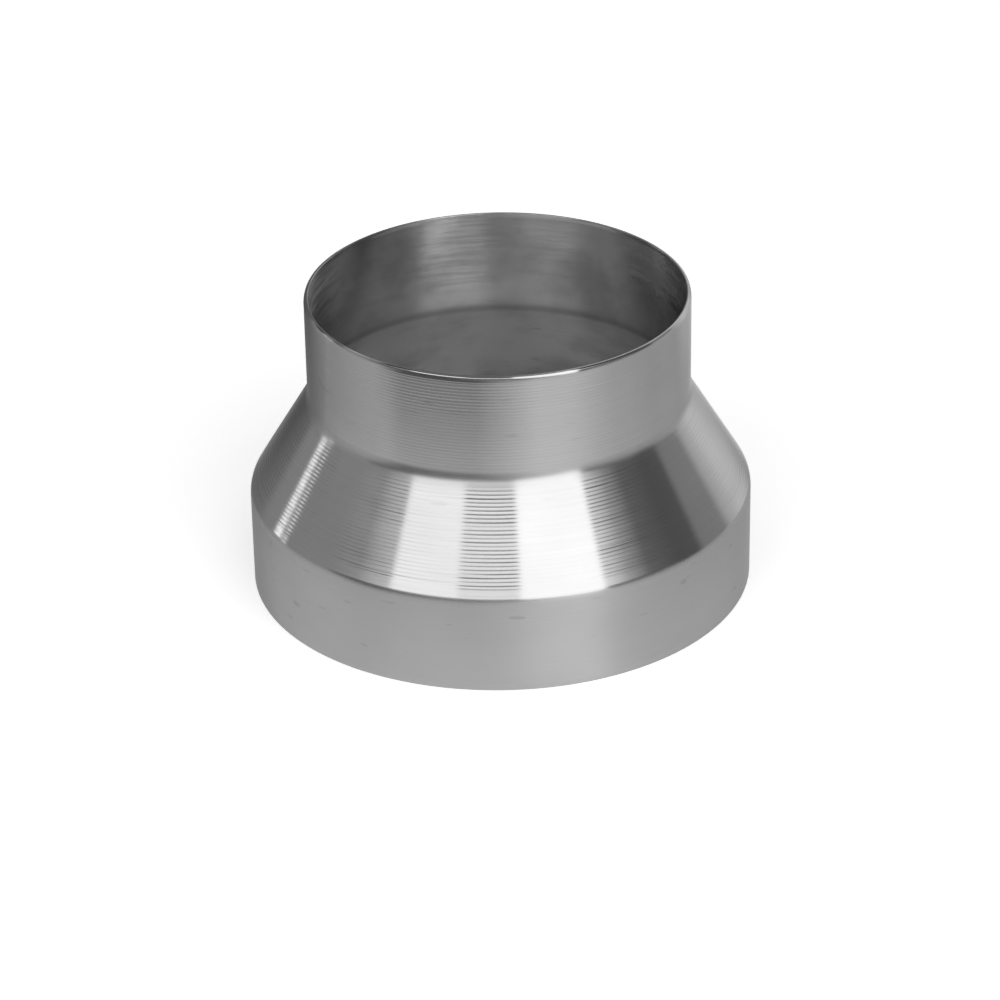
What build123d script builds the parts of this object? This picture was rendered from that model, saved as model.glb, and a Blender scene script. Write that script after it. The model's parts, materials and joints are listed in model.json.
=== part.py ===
from build123d import *
from math import atan2, cos, degrees, radians, sin, tan
import os

# Duct reducer. It is one disc of aluminium sheet, spun over a former on a lathe: a wide collar, a cone and
# a narrow collar in one wall of even thickness. The wide collar slips over the large duct, and the narrow
# collar slips into the small one. +Z runs along the axis from the wide end to the narrow end. The origin is
# the centre of the wide rim, on which the reducer stands. Lengths are in millimetres, angles in degrees.

# The ducts that it joins
large_duct_diameter = 160.0
large_duct_clearance = 0.2
small_duct_bore = 125.0
small_duct_clearance = 1.0

# The sheet
wall = 1.0

# Heights, corner to corner, along the axis
wide_collar_height = 31.6
cone_height = 32.5
narrow_collar_height = 34.6

# Bends, measured on the outer face
shoulder_radius = 5.0
root_radius = 7.6

# The lip of the narrow collar leans in, so that it enters the duct
lip_height = 1.3
lip_lean = 18.0
lip_radius = 4.0
lip_edge_round = 0.8

# Small bevel left by filing on the other trimmed edges
trimmed_edge_bevel = 0.2

# Sizes that follow from those above
wide_radius = large_duct_diameter / 2 + large_duct_clearance + wall
narrow_radius = small_duct_bore / 2 - small_duct_clearance
root_z = wide_collar_height + cone_height
top_z = root_z + narrow_collar_height
cone_lean = degrees(atan2(wide_radius - narrow_radius, cone_height))


def below_corner(radius, z, lean_before, lean_after, depth):
    """Point of a corner at a depth below the outer face, on the line that halves the corner's bend.

    The wall leans in by lean_before degrees under the corner, and by lean_after degrees above it.
    """
    halving = 1 + cos(radians(lean_after - lean_before))
    inward = (cos(radians(lean_before)) + cos(radians(lean_after))) / halving
    down = (sin(radians(lean_before)) + sin(radians(lean_after))) / halving
    return (radius - depth * inward, z - depth * down)


def wall_line(depth):
    """Line of the wall at a depth below its outer face, from the wide rim up to the narrow rim.

    At every depth the bends share their centres, so the two faces stay parallel.
    """
    shoulder = below_corner(wide_radius, wide_collar_height, 0, cone_lean, depth)
    root = below_corner(narrow_radius, root_z, cone_lean, 0, depth)
    lip = below_corner(narrow_radius, top_z - lip_height, 0, lip_lean, depth)
    lip_end = (lip[0] - (top_z - lip[1]) * tan(radians(lip_lean)), top_z)
    bends = [shoulder_radius - depth, root_radius + depth, lip_radius - depth]
    return FilletPolyline((wide_radius - depth, 0), shoulder, root, lip, lip_end, radius=bends)


def wall_section():
    """Half section of the wall: the outer and inner lines, closed by the two trimmed rims."""
    outer = wall_line(0)
    inner = wall_line(wall)
    wide_rim = Line(outer @ 0, inner @ 0)
    narrow_rim = Line(outer @ 1, inner @ 1)
    section = make_face(outer.edges() + inner.edges() + [wide_rim, narrow_rim])
    wide_rim_corners = section.vertices().group_by(Axis.Y)[0]
    section = chamfer(wide_rim_corners, trimmed_edge_bevel)
    outer_lip_corner = section.vertices().group_by(Axis.Y)[-1].sort_by(Axis.X)[-1]
    section = fillet(outer_lip_corner, lip_edge_round)
    inner_lip_corner = section.vertices().group_by(Axis.Y)[-1].sort_by(Axis.X)[0]
    return chamfer(inner_lip_corner, trimmed_edge_bevel)


reducer_shell = revolve(Plane.XZ * wall_section(), Axis.Z)

os.makedirs("parts", exist_ok=True)
export_step(reducer_shell, "parts/reducer_shell.step")
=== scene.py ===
import json
from math import atan2, cos, pi, radians, sin, tan

import bpy
import numpy as np
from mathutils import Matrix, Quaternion, Vector


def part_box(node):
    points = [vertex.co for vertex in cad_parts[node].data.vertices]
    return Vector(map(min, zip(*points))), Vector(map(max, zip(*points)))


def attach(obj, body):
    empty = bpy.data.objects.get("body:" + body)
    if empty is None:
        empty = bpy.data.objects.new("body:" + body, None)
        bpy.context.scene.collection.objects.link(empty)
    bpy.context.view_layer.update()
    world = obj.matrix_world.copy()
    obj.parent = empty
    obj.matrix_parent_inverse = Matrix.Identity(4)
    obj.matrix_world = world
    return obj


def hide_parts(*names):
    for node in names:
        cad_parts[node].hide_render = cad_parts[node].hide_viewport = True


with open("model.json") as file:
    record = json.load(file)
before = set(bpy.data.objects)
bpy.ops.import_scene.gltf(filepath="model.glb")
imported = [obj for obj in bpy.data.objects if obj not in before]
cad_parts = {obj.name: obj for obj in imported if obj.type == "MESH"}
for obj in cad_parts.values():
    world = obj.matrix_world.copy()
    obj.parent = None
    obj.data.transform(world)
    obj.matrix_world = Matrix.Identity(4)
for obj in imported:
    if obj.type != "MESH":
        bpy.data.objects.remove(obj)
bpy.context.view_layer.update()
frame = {"record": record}

# The section of the shell
# The reducer is one disc of aluminium sheet, spun over a former on a lathe until it is a wide collar, a cone
# and a narrow collar in one wall. Both rims are trimmed, and the lip of the narrow one leans in.

mm = 0.001
mount_sizes = {mount["name"]: mount["dims"] for mount in frame["record"]["mounts"]}
wall = 1.0
facet_allowance = 0.03    # the CAD box is measured on facets, a little inside the true circle
wide_radius = mount_sizes["wide_collar"]["r_mm"] + wall - facet_allowance
narrow_radius = mount_sizes["narrow_collar"]["r_mm"]
top_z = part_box("reducer_shell")[1].z / mm
shoulder_z = 31.6
root_z = 64.1
cone_lean = atan2(wide_radius - narrow_radius, root_z - shoulder_z)
shoulder_bend = 5.0
root_bend = 7.6
lip_height = 1.3
lip_lean = radians(18.0)
lip_bend = 4.0
lip_edge_round = 0.8
rim_bevel = 0.2
sharp_bend = 0.04


def below_corner(radius, z, lean_before, lean_after, depth):
    """Point of a corner at a depth below the outer face, on the line that halves the corner's bend."""
    halving = 1 + cos(lean_after - lean_before)
    inward = (cos(lean_before) + cos(lean_after)) / halving
    down = (sin(lean_before) + sin(lean_after)) / halving
    return radius - depth * inward, z - depth * down


def bend_points(before, corner, after, bend_radius, steps):
    """Points of one bend: the arc of the given radius that touches both runs which meet at the corner.

    Its centre lies on the line that halves the corner, and equal steps of angle lead from the first tangent
    point to the second.
    """
    back = (before - corner) / np.linalg.norm(before - corner)
    ahead = (after - corner) / np.linalg.norm(after - corner)
    half = np.arccos(np.clip(back @ ahead, -1, 1)) / 2
    centre = corner + (back + ahead) / np.linalg.norm(back + ahead) * bend_radius / np.sin(half)
    start = corner + back * bend_radius / np.tan(half) - centre
    side = np.array([-start[1], start[0]]) * np.sign(back[1] * ahead[0] - back[0] * ahead[1])
    angle = np.linspace(0, pi - 2 * half, steps + 1)[:, None]
    return centre + start * np.cos(angle) + side * np.sin(angle)


def closed_outline(corners):
    """Closed outline of radii and heights: each corner as its bend, each run cut into equal steps.

    A corner is its radius, height, bend radius, steps round the bend and steps along the run after it. The
    second array gives, for each point, the number of the corner that it belongs to.
    """
    places = np.array([corner[:2] for corner in corners])
    neighbours = zip(np.roll(places, 1, axis=0), places, np.roll(places, -1, axis=0), corners)
    bends = [bend_points(a, b, c, corner[2], corner[3]) for a, b, c, corner in neighbours]
    stretches = []
    for bend, next_bend, corner in zip(bends, bends[1:] + bends[:1], corners):
        stretches.append(np.vstack([bend, np.linspace(bend[-1], next_bend[0], corner[4] + 1)[1:-1]]))
    owner = np.repeat(np.arange(len(corners)), [len(stretch) for stretch in stretches])
    return np.vstack(stretches), owner


lip_end_radius = narrow_radius - lip_height * tan(lip_lean)
inner_shoulder = below_corner(wide_radius, shoulder_z, 0, cone_lean, wall)
inner_root = below_corner(narrow_radius, root_z, cone_lean, 0, wall)
inner_lip = below_corner(narrow_radius, top_z - lip_height, 0, lip_lean, wall)
inner_lip_end_radius = inner_lip[0] - (top_z - inner_lip[1]) * tan(lip_lean)

outline, owner = closed_outline([
    (wide_radius - rim_bevel, 0, sharp_bend, 2, 1),
    (wide_radius, rim_bevel, sharp_bend, 2, 14),
    (wide_radius, shoulder_z, shoulder_bend, 18, 200),
    (narrow_radius, root_z, root_bend, 16, 176),
    (narrow_radius, top_z - lip_height, lip_bend, 7, 2),
    (lip_end_radius, top_z, lip_edge_round, 9, 2),
    (inner_lip_end_radius + rim_bevel, top_z, sharp_bend, 2, 1),
    (inner_lip_end_radius + rim_bevel * sin(lip_lean), top_z - rim_bevel * cos(lip_lean), sharp_bend, 2, 2),
    (*inner_lip, lip_bend - wall, 5, 14),
    (*inner_root, root_bend + wall, 10, 16),
    (*inner_shoulder, shoulder_bend - wall, 8, 12),
    (wide_radius - wall, rim_bevel, sharp_bend, 2, 1),
    (wide_radius - wall + rim_bevel, 0, sharp_bend, 2, 1),
])
shoulder_corner, root_corner, lip_edge_corner = 2, 3, 5

# The marks of spinning
# The roller follows a spiral up the turning sheet. On the cone it leaves shallow rings with crests between
# them, on the narrow collar finer ones, and a small groove where its path ends above the shoulder.

segments = 172
rng = np.random.default_rng(11)


def smooth_step(low, high, value):
    """Rises from 0 at low to 1 at high with level ends: three squares less two cubes of the share passed."""
    share = np.clip((value - low) / (high - low), 0, 1)
    return share * share * (3 - 2 * share)


def spiral_rings(along, turn, pitch, depth, unevenness):
    """Height of a spiral of hollows: a parabola from crest to crest, deeper and shallower along its path.

    The place between two crests is the fraction of distance over pitch less the share of the turn, and the
    path's own length in turns picks its depth, so the spiral closes on itself at every angle.
    """
    passes = along / pitch - turn
    across = passes - np.floor(passes)
    path = np.floor(passes) + 0.5 + turn
    strength = np.ones_like(path)
    long_wave, wave, ripple = (1.3, 0.6), (9, 0.5), (40, 0.6)
    for waves_each_turn, share in (long_wave, wave, ripple):
        nodes = np.arange(-2, path.max() + 2, 1 / waves_each_turn)
        strength += share * unevenness * np.interp(path, nodes, rng.standard_normal(len(nodes)))
    return depth * strength * ((2 * across - 1) ** 2 - 1)


turn = (np.arange(segments) / segments)[None, :]
radius, height = outline[:, 0:1], outline[:, 1:2]
slant = np.hypot(radius - wide_radius, height - shoulder_z) + 0 * turn

ring_unevenness = 0.2
ring_fade = 0.5
cone_ring_pitch = 1.22
cone_ring_depth = 0.032
cone_ring_start, cone_ring_end = 3.9, 35.2
cone_rings = spiral_rings(slant, turn, cone_ring_pitch, cone_ring_depth, ring_unevenness)
cone_rings *= smooth_step(cone_ring_start - ring_fade, cone_ring_start + ring_fade, slant)
cone_rings *= 1 - smooth_step(cone_ring_end - ring_fade, cone_ring_end + ring_fade, slant)
cone_rings *= (owner == shoulder_corner)[:, None]

collar_ring_pitch = 1.083
collar_ring_depth = 0.024
low_share, added_share = 0.35, 0.65    # of the depth: low down, and what comes on top near the lip
up_collar = height - root_z + 0 * turn
near_lip = smooth_step(18, 28, up_collar)
collar_rings = spiral_rings(up_collar, turn, collar_ring_pitch, collar_ring_depth, ring_unevenness)
collar_rings *= smooth_step(2.5, 4.0, up_collar) * (low_share + added_share * near_lip)
collar_rings *= (owner == root_corner)[:, None]

groove_depth, groove_place, groove_width = 0.008, 2.0, 0.4
stop_groove = -groove_depth * np.exp(-(((slant - groove_place) / groove_width) ** 2))
stop_groove = stop_groove * (owner == shoulder_corner)[:, None]

# The shell: its mesh
# The section is carried round the axis, with the marks of the roller pressed in along its outward direction.

toward = np.roll(outline, -1, axis=0) - np.roll(outline, 1, axis=0)
toward /= np.linalg.norm(toward, axis=1, keepdims=True)
outward_radius, outward_height = toward[:, 1:2], -toward[:, 0:1]


def turned_surface(name, radii, heights):
    """Surface of revolution on a grid of rows and turns, closed both ways.

    A point's place is its radius times the cosine and sine of its angle, and its height.
    """
    rows, columns = radii.shape
    angle = 2 * pi * turn
    points = np.stack([radii * np.cos(angle), radii * np.sin(angle), heights + 0 * angle], axis=-1)
    corner = np.arange(rows * columns).reshape(rows, columns)
    beside, above = np.roll(corner, -1, axis=1), np.roll(corner, -1, axis=0)
    faces = np.stack([corner, beside, np.roll(above, -1, axis=1), above], axis=-1).reshape(-1, 4)
    mesh = bpy.data.meshes.new(name)
    mesh.from_pydata((points.reshape(-1, 3) * mm).tolist(), [], faces.tolist())
    mesh.polygons.foreach_set("use_smooth", np.ones(len(faces), dtype=bool))
    across = np.broadcast_to(np.arange(columns), (rows, columns)) / columns
    upward = np.broadcast_to(np.arange(rows)[:, None], (rows, columns)) / rows
    step_u = np.array([0, 1, 1, 0]) / columns
    step_v = np.array([0, 0, 1, 1]) / rows
    places = np.stack([across[..., None] + step_u, upward[..., None] + step_v], axis=-1)
    mesh.uv_layers.new(name="wall").data.foreach_set("uv", places.astype(np.float32).ravel())
    mesh.update()
    piece = bpy.data.objects.new(name, mesh)
    bpy.context.collection.objects.link(piece)
    return piece


marks = cone_rings + collar_rings + stop_groove
shell = turned_surface(
    "spun_shell",
    radius + outward_radius * marks,
    height + outward_height * marks,
)

# How bright each place is, for the finish: 1 on the cone and the lip, less on the narrow collar, and inside
# only the streaks above the bend
outside = owner[:, None] <= lip_edge_corner
past_shoulder = smooth_step(30.2, 33.0, height)
past_root = smooth_step(63.0, 66.0, height)
on_cone = past_shoulder * (1 - past_root)
on_lip = smooth_step(top_z - 2.6, top_z - 1.9, height)
dull_depth, dull_height, dull_width = 0.35, 63.6, 2.6
root_dullness = dull_depth * np.exp(-(((height - dull_height) / dull_width) ** 2))
collar_burnish = 0.6 + 0.4 * on_lip
above_bend = smooth_step(67.0, 74.0, height)
burnish = outside * (on_cone + collar_burnish * past_root) * (1 - root_dullness)
burnish += ~outside * above_bend

# Inside the shell, where the sheet lay on the former, it is dull. Its colour there is painted lighter all
# over, for the light that the sheet throws from wall to wall, and painted shade darkens it from the mouth
# downwards: a dark line of painted shade in the bend under the narrow collar, and darker from there down
inside = ~outside + 0.0
bend_shade_height, bend_shade_width = 63.8, 1.9
# Painted shade: a dark line in the bend under the narrow collar
bend_painted_shade = np.exp(-(((height - bend_shade_height) / bend_shade_width) ** 2))
under_bend = 1 - smooth_step(60.0, 64.0, height)
below_mouth = 1 - smooth_step(66.0, 90.0, height)
# How much the colour inside is painted lighter, and how much painted shade takes off towards the bottom, in
# the bend and under it
mouth_tone, below_mouth_tone, bend_shade_tone, under_bend_tone = 0.18, 0.2, 0.48, 0.34
tone = mouth_tone - below_mouth_tone * below_mouth - bend_shade_tone * bend_painted_shade - under_bend_tone * under_bend
shade = 1 + inside * tone

for name, values in (("burnish", burnish), ("shade", shade)):
    shell.data.attributes.new(name, "FLOAT", "POINT").data.foreach_set(
        "value", (values + 0 * turn).astype(np.float32).ravel()
    )
face_sides = np.repeat((owner > lip_edge_corner).astype(np.int32), segments)
shell.data.polygons.foreach_set("material_index", face_sides)

# The metal
# Bare aluminium. Outside it is satin as it came from the mill on the wide collar, and burnished on the cone.
# Inside it is dull and smudged where it lay on the former, with fine rubbed streaks round the axis.


def spun_aluminium(name, drawn_out, edge_tone, dull, bright, smudge_depth):
    """The metal's finish: fine streaks run round the axis, and small dark specks lie all over.

    Its roughness goes from dull to bright with the burnish attribute outside, and with rubbed streaks inside.
    Its gloss is drawn out across the streaks. The edge tone is how far its colour keeps at grazing angles,
    and the smudges darken it by their depth.
    """
    material = bpy.data.materials.new(name)
    material.use_nodes = True
    nodes, links = material.node_tree.nodes, material.node_tree.links
    shader = nodes["Principled BSDF"]
    shader.inputs["Metallic"].default_value = 1.0
    shader.inputs["Anisotropic"].default_value = drawn_out
    shader.inputs["Specular Tint"].default_value = (edge_tone, edge_tone, edge_tone, 1)
    shader.inputs["Anisotropic Rotation"].default_value = 0.25
    tangent = nodes.new("ShaderNodeTangent")
    tangent.direction_type = "UV_MAP"
    tangent.uv_map = "wall"
    links.new(tangent.outputs["Tangent"], shader.inputs["Tangent"])
    place = nodes.new("ShaderNodeTexCoord")

    def attribute(name):
        node = nodes.new("ShaderNodeAttribute")
        node.attribute_name = name
        return node.outputs["Fac"]

    def blend(share, first, second):
        node = nodes.new("ShaderNodeMix")
        node.data_type = "FLOAT"
        for socket, value in (("Factor", share), ("A", first), ("B", second)):
            if isinstance(value, float):
                node.inputs[socket].default_value = value
            else:
                links.new(value, node.inputs[socket])
        return node.outputs["Result"]

    def streaks(scale, detail):
        stretch = nodes.new("ShaderNodeMapping")
        stretch.inputs["Scale"].default_value = scale
        links.new(place.outputs["Object"], stretch.inputs["Vector"])
        noise = nodes.new("ShaderNodeTexNoise")
        noise.inputs["Scale"].default_value = 1.0
        noise.inputs["Detail"].default_value = detail
        links.new(stretch.outputs["Vector"], noise.inputs["Vector"])
        return noise.outputs["Fac"]

    def rise(value, low, high):
        node = nodes.new("ShaderNodeMapRange")
        node.interpolation_type = "SMOOTHSTEP"
        node.inputs["From Min"].default_value = low
        node.inputs["From Max"].default_value = high
        links.new(value, node.inputs["Value"])
        return node.outputs["Result"]

    def product(first, second):
        node = nodes.new("ShaderNodeMath")
        node.operation = "MULTIPLY"
        links.new(first, node.inputs[0])
        links.new(second, node.inputs[1])
        return node.outputs["Value"]

    dark_tone, light_tone = 0.375, 0.465
    cloud_share = 0.65
    streak_depth = 0.0000025
    fine = streaks((14.0, 14.0, 1500.0), 2.0)
    cloudy = streaks((35.0, 35.0, 60.0), 3.0)
    specks = rise(streaks((100.0, 100.0, 400.0), 1.0), 0.69, 0.79)
    speck_tone = blend(attribute("burnish"), 0.84, 0.95)
    # The shade attribute brings in the painted light and shade inside the shell: lighter near the mouth, a
    # dark line in the bend and darker below it
    marked = product(attribute("shade"), blend(specks, 1.0, speck_tone))
    if smudge_depth:
        rubbed = product(attribute("burnish"), rise(streaks((60.0, 60.0, 1700.0), 2.0), 0.42, 0.56))
        links.new(blend(rubbed, dull, bright), shader.inputs["Roughness"])
        mottled = rise(streaks((34.0, 34.0, 40.0), 4.0), 0.34, 0.6)
        marked = product(marked, blend(mottled, 1 - smudge_depth, 1.03))
    else:
        links.new(blend(attribute("burnish"), dull, bright), shader.inputs["Roughness"])
    tone = nodes.new("ShaderNodeMix")
    tone.data_type = "RGBA"
    tone.inputs["A"].default_value = (dark_tone, dark_tone, dark_tone, 1)
    tone.inputs["B"].default_value = (light_tone, light_tone, light_tone, 1)
    links.new(blend(cloud_share, fine, cloudy), tone.inputs["Factor"])
    stained = nodes.new("ShaderNodeMix")
    stained.data_type = "RGBA"
    stained.blend_type = "MULTIPLY"
    stained.inputs["Factor"].default_value = 1.0
    links.new(tone.outputs["Result"], stained.inputs["A"])
    links.new(marked, stained.inputs["B"])
    links.new(stained.outputs["Result"], shader.inputs["Base Color"])

    bump = nodes.new("ShaderNodeBump")
    bump.inputs["Strength"].default_value = 1.0
    bump.inputs["Distance"].default_value = streak_depth
    links.new(fine, bump.inputs["Height"])
    links.new(bump.outputs["Normal"], shader.inputs["Normal"])
    return material


outside_finish = {"drawn_out": 0.9, "edge_tone": 0.5, "dull": 0.38, "bright": 0.127, "smudge_depth": 0}
inside_finish = {"drawn_out": 1.0, "edge_tone": 1.0, "dull": 0.42, "bright": 0.3, "smudge_depth": 0.3}
shell.data.materials.append(spun_aluminium("spun_aluminium", **outside_finish))
shell.data.materials.append(spun_aluminium("spun_aluminium_inside", **inside_finish))
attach(shell, "root")
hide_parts("reducer_shell")

# The floor
# A plain pale table top, which keeps the part's soft shadow. It glows a little to the camera and to
# reflections, so that it shows white.


def floor_material():
    """Pale matt surface with a faint glow to the camera, to reflections and through clear things."""
    paleness, glow_level = 0.85, 0.5
    material = bpy.data.materials.new("pale_floor")
    material.use_nodes = True
    nodes, links = material.node_tree.nodes, material.node_tree.links
    shader = nodes["Principled BSDF"]
    shader.inputs["Base Color"].default_value = (paleness, paleness, paleness, 1)
    shader.inputs["Roughness"].default_value = 0.9
    shader.inputs["Specular IOR Level"].default_value = 0.0
    shader.inputs["Emission Color"].default_value = (1, 1, 1, 1)
    path = nodes.new("ShaderNodeLightPath")
    seen = nodes.new("ShaderNodeMath")
    seen.operation = "MAXIMUM"
    links.new(path.outputs["Is Camera Ray"], seen.inputs[0])
    links.new(path.outputs["Is Glossy Ray"], seen.inputs[1])
    seen_through = nodes.new("ShaderNodeMath")
    seen_through.operation = "MAXIMUM"
    links.new(seen.outputs["Value"], seen_through.inputs[0])
    links.new(path.outputs["Is Transmission Ray"], seen_through.inputs[1])
    glow = nodes.new("ShaderNodeMath")
    glow.operation = "MULTIPLY"
    glow.inputs[1].default_value = glow_level
    links.new(seen_through.outputs["Value"], glow.inputs[0])
    links.new(glow.outputs["Value"], shader.inputs["Emission Strength"])
    return material


floor_half = 6.0
floor_corners = floor_half * np.array([(-1, -1, 0), (1, -1, 0), (1, 1, 0), (-1, 1, 0)])
floor_mesh = bpy.data.meshes.new("floor")
floor_mesh.from_pydata(floor_corners.tolist(), [], [(0, 1, 2, 3)])
floor = bpy.data.objects.new("floor", floor_mesh)
bpy.context.collection.objects.link(floor)
floor.data.materials.append(floor_material())

# The studio
# A screen stands round the table, and shows only as reflections in the metal: two soft boxes in front with a
# gap between them, a dark room under them, and grey walls at the sides and behind. Two lamps light the floor.

part_middle = 0.05
screen_radius = 2.2
front_elevation = 28.5


def card(turned, elevation, turns, elevations, softness):
    """Share of a card at each direction: 1 inside its turns and elevations, falling to 0 at its edges.

    The softness is that of its sides, its lower edge and its upper edge.
    """
    sides, foot, head = softness
    across = smooth_step(turns[0] - sides, turns[0] + sides, turned)
    across = across * (1 - smooth_step(turns[1] - sides, turns[1] + sides, turned))
    up = smooth_step(elevations[0] - foot, elevations[0] + foot, elevation)
    return across * up * (1 - smooth_step(elevations[1] - head, elevations[1] + head, elevation))


def card_turn(azimuth, elevation):
    """Twice the azimuth of the places on a round part that mirror each direction towards the front.

    Such a place faces half way between the direction and the front, so a card whose sides keep to one turn
    shows an upright edge on every collar and cone. Behind the part the turn goes over to the azimuth itself.
    """
    level = np.cos(np.radians(elevation))
    across = level * np.sin(np.radians(azimuth))
    ahead = level * np.cos(np.radians(azimuth)) + cos(radians(front_elevation))
    mirrored = np.clip(np.degrees(2 * np.arctan2(across, ahead)), -180, 180)
    return mirrored + (azimuth - mirrored) * smooth_step(150, 165, np.abs(azimuth))


def screen_glow(azimuth, elevation, reach):
    """Glow of the screen by azimuth, to the right of the camera's side, elevation, and reach from the axis.

    The part that lies on the table, out to the wall, passes from a near tone to a far one.
    """
    turned = card_turn(azimuth, elevation)
    wall_turns = (
        -180, -150, -143, -120.5, -105.5, -77.5, -70, 50, 76.5, 101, 105.5, 124, 130, 144.5, 168, 180,
    )
    wall_glows = (.24, .24, .52, .44, .45, .45, .10, .10, .14, .17, .38, .42, .78, 1.10, 1.20, 0.24)
    # On the table the near and far tones are low behind the part and at its back left: a painted shadow of
    # the part, as the metal reflects the table
    near_azimuths = (-180, -155, -135, -118, -90, -68, -60, -12, 18, 42, 62, 90, 130, 155, 170)
    near_glows = (.28, .37, .42, .52, .64, .70, .96, .96, 1.22, 1.06, .76, .66, .90, 1.0, 0.3)
    far_azimuths = (-180, -140, -118, -69, -53, -12, 20, 45, 62, 90, 115, 128, 148, 165, 178)
    far_glows = (.18, .27, .52, .68, .15, .15, .95, .90, .72, .64, .75, 1.35, 1.30, 1.15, 0.24)
    wall = np.interp(turned, wall_turns, wall_glows)
    near_floor = np.interp(azimuth, near_azimuths, near_glows)
    far_floor = np.interp(azimuth, far_azimuths, far_glows)
    floor_glow = near_floor + (far_floor - near_floor) * smooth_step(0.17, 0.27, reach)
    ceiling = smooth_step(62, 72, elevation)
    ceiling_glow = 0.3
    glow = np.where(elevation < 0, floor_glow, wall * (1 - ceiling) + ceiling_glow * ceiling)
    foot_glow = np.interp(turned, (-81, -73, -59, -49, -32, -13, 6), (.45, .36, .28, .13, .14, .40, .55))
    foot = card(turned, elevation, (-81, 7), (-9, 14), (1.5, 1, 2))
    glow += (foot_glow - glow) * foot * (elevation >= 0)
    # Darkness, turns, elevations and softness of the dark cards: one under the boxes, two at the left wall
    dark_cards = (
        (0.8, (-83, 6), (4.5, 12), (3, 1.5, 1.5)),
        (0.75, (-142, -128), (13, 45), (2, 1.5, 6)),
        (0.6, (-116, -105.5), (19, 45), (2, 2, 6)),
    )
    for darkness, turns, elevations, softness in dark_cards:
        glow *= 1 - darkness * card(turned, elevation, turns, elevations, softness)
    # The two soft boxes in front, and a band of light at their height that fades to the sides
    left_box = card(turned, elevation, (-52, -20), (20, 44), (1.5, 8, 3))
    right_foot = np.interp(turned, (8, 40), (11, 1.2))
    right_box = card(turned, elevation, (8, 47.5), (right_foot, 51), (1.5, 1.5, 3))
    left_box_glow, right_box_glow = 1.95, 2.2
    glow += left_box_glow * left_box + right_box_glow * right_box
    side = np.abs(turned + 2)
    band_head = 36.2 - 13 * (np.minimum(side, 90) / 90) ** 2
    band = smooth_step(14, 20, elevation) * (1 - smooth_step(band_head - 1.5, band_head + 1.5, elevation))
    band_turns = (-88, -77.5, -71, -62, -52.5, -20, 8, 50, 60, 71, 88)
    band_glow = np.interp(turned, band_turns, (0, 0.1, 0.5, 0.85, 1.1, 1.8, 1.8, 1.5, 0.65, 0.15, 0))
    glow += band * band_glow * (1 - left_box) * (1 - right_box)
    # Glow, turns, elevations and softness of the small lights: two low ones that make the streaks on the left
    # of the cone, a faint low one on the right, and three high ones that light the mouth
    small_lights = (
        (2.4, (-127.6, -121.6), (3.5, 9), (1.5, 1.2, 1.5)),
        (1.5, (-119.4, -116.4), (0, 7.5), (1.2, 1.5, 2)),
        (0.25, (54, 86), (2, 10), (6, 1.5, 2)),
        (2.0, (8, 44), (54, 66), (1.5, 3, 3)),
        (0.4, (100, 165), (44, 60), (8, 4, 4)),
        (0.4, (-160, -90), (44, 60), (8, 4, 4)),
    )
    for strength, turns, elevations, softness in small_lights:
        glow += strength * card(turned, elevation, turns, elevations, softness)
    return glow


table_shares = np.array([0, 0.02, 0.04, 0.06, 0.12, 0.35, 1.0])
wall_elevations = np.arange(0, 89, 1.0)
screen_turn = np.arange(-180, 180, 1.5)
azimuth_grid = np.radians(screen_turn) + np.zeros((len(table_shares) + len(wall_elevations), 1))
# The rows on the table are marked with an elevation below 0
row_elevations = np.concatenate([np.full(len(table_shares), -1.0), wall_elevations])
elevation_grid = row_elevations[:, None] + 0 * azimuth_grid
# How far from the axis the reflected table begins: a little nearer at the back left
table_edge = np.interp(screen_turn, (-180, -125, -105, 160, 178), (0.13, 0.13, 0.148, 0.148, 0.13))
on_table = table_edge + (screen_radius - table_edge) * table_shares[:, None]
on_wall = screen_radius * np.cos(np.radians(wall_elevations))[:, None] + 0 * screen_turn
wall_height = part_middle + screen_radius * np.sin(np.radians(elevation_grid))
reach = np.vstack([on_table, on_wall])
above_table = 0.0005
screen_height = np.where(elevation_grid < 0, above_table, wall_height)
screen_points = np.stack(
    [reach * np.sin(azimuth_grid), -reach * np.cos(azimuth_grid), screen_height], axis=-1
)
screen_rows, screen_columns = azimuth_grid.shape
corner_numbers = np.arange(screen_rows * screen_columns).reshape(screen_rows, screen_columns)
next_numbers = np.roll(corner_numbers, -1, axis=1)
screen_faces = np.stack(
    [corner_numbers[:-1], corner_numbers[1:], next_numbers[1:], next_numbers[:-1]], axis=-1
)
screen_mesh = bpy.data.meshes.new("studio_screen")
screen_mesh.from_pydata(screen_points.reshape(-1, 3).tolist(), [], screen_faces.reshape(-1, 4).tolist())
screen_mesh.attributes.new("glow", "FLOAT", "POINT").data.foreach_set(
    "value", screen_glow(np.degrees(azimuth_grid), elevation_grid, reach).astype(np.float32).ravel()
)
screen = bpy.data.objects.new("studio_screen", screen_mesh)
bpy.context.collection.objects.link(screen)
screen_material = bpy.data.materials.new("studio_screen")
screen_material.use_nodes = True
screen_nodes, screen_links = screen_material.node_tree.nodes, screen_material.node_tree.links
screen_light = screen_nodes.new("ShaderNodeEmission")
screen_reading = screen_nodes.new("ShaderNodeAttribute")
screen_reading.attribute_name = "glow"
screen_links.new(screen_reading.outputs["Fac"], screen_light.inputs["Strength"])
screen_links.new(screen_light.outputs["Emission"], screen_nodes["Material Output"].inputs["Surface"])
screen.data.materials.append(screen_material)
screen.visible_camera = False
screen.visible_diffuse = False
screen.visible_shadow = False
screen.visible_transmission = False


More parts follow.
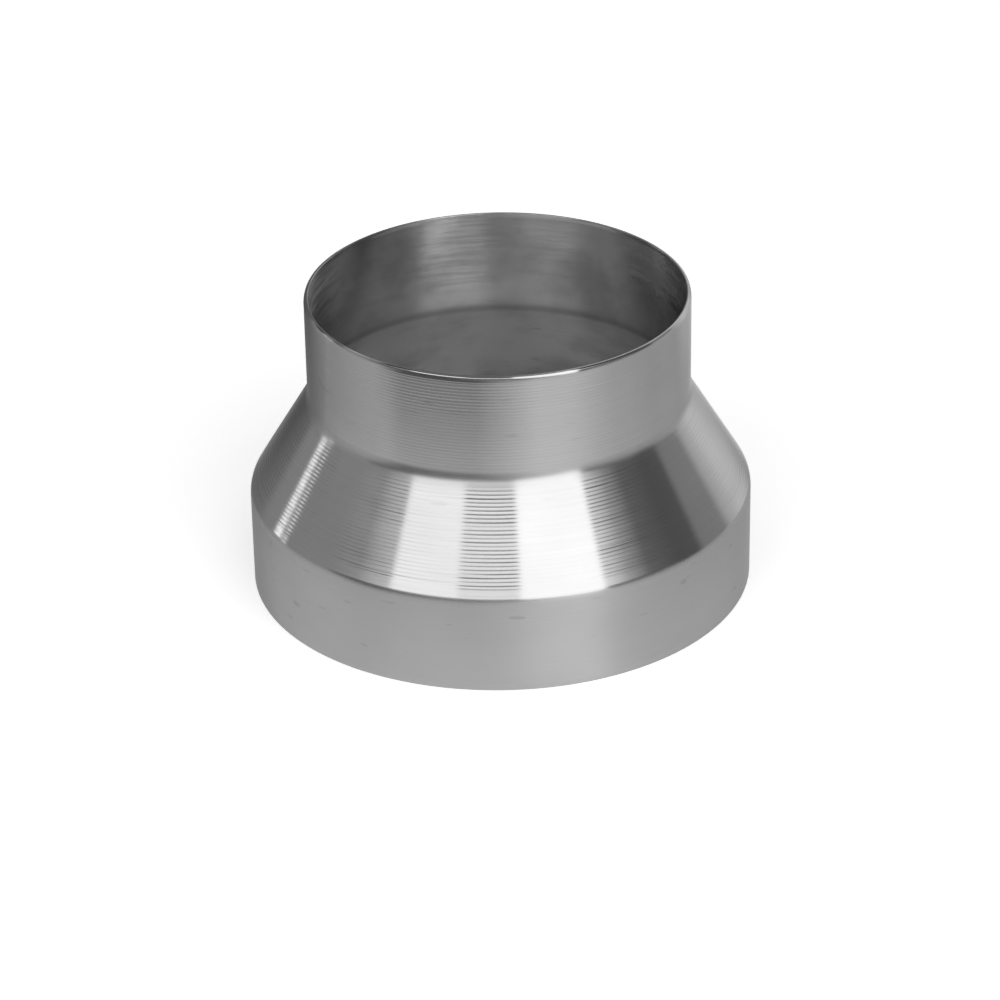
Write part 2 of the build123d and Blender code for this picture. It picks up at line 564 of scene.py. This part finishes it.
def direction(azimuth, elevation):
    """Unit vector at an azimuth to the right of the camera's side and an elevation above the floor."""
    return Vector((
        sin(radians(azimuth)) * cos(radians(elevation)),
        -cos(radians(azimuth)) * cos(radians(elevation)),
        sin(radians(elevation)),
    ))


def soft_lamp(name, azimuth, elevation, side, distance, light):
    """Square lamp that faces the part, and sends it the given share of a plain level of light."""
    lamp = bpy.data.lights.new(name, "AREA")
    lamp.size = side
    lamp.energy = light * pi * pi * distance * distance
    box = bpy.data.objects.new(name, lamp)
    box.location = Vector((0, 0, part_middle)) + direction(azimuth, elevation) * distance
    box.rotation_mode = "QUATERNION"
    box.rotation_quaternion = (-direction(azimuth, elevation)).to_track_quat("-Z", "Y")
    box.visible_camera = False
    box.visible_glossy = False
    bpy.context.collection.objects.link(box)


soft_lamp("soft_lamp_left", azimuth=-36, elevation=42, side=2.4, distance=3.6, light=0.22)
soft_lamp("soft_lamp_right", azimuth=30, elevation=42, side=2.6, distance=3.6, light=0.38)

sky_level = 0.35
world = bpy.data.worlds.new("studio")
world.use_nodes = True
sky = world.node_tree.nodes["Background"]
sky.inputs["Color"].default_value = (1, 1, 1, 1)
sky.inputs["Strength"].default_value = sky_level
bpy.context.scene.world = world
bpy.context.scene.view_settings.view_transform = "Standard"

# The camera
# It looks down on the part by about 28 degrees from in front, rolled by one degree. It stands far off with a
# long lens, so the rims show as nearly true ellipses.

camera_distance = 1.1031
camera_height = 0.6194
aim_side = -0.0003
aim_height = 0.0234
camera_roll = radians(-0.98)
photo_width = 1000
focal_pixels = 3846

camera = bpy.data.objects.new("camera", bpy.data.cameras.new("camera"))
camera.data.sensor_width = 36
camera.data.lens = camera.data.sensor_width * focal_pixels / photo_width
camera.location = (0, -camera_distance, camera_height)
camera.rotation_mode = "QUATERNION"
look = Vector((aim_side, 0, aim_height)) - camera.location
camera.rotation_quaternion = look.to_track_quat("-Z", "Y") @ Quaternion((0, 0, 1), camera_roll)
bpy.context.collection.objects.link(camera)
bpy.context.scene.camera = camera
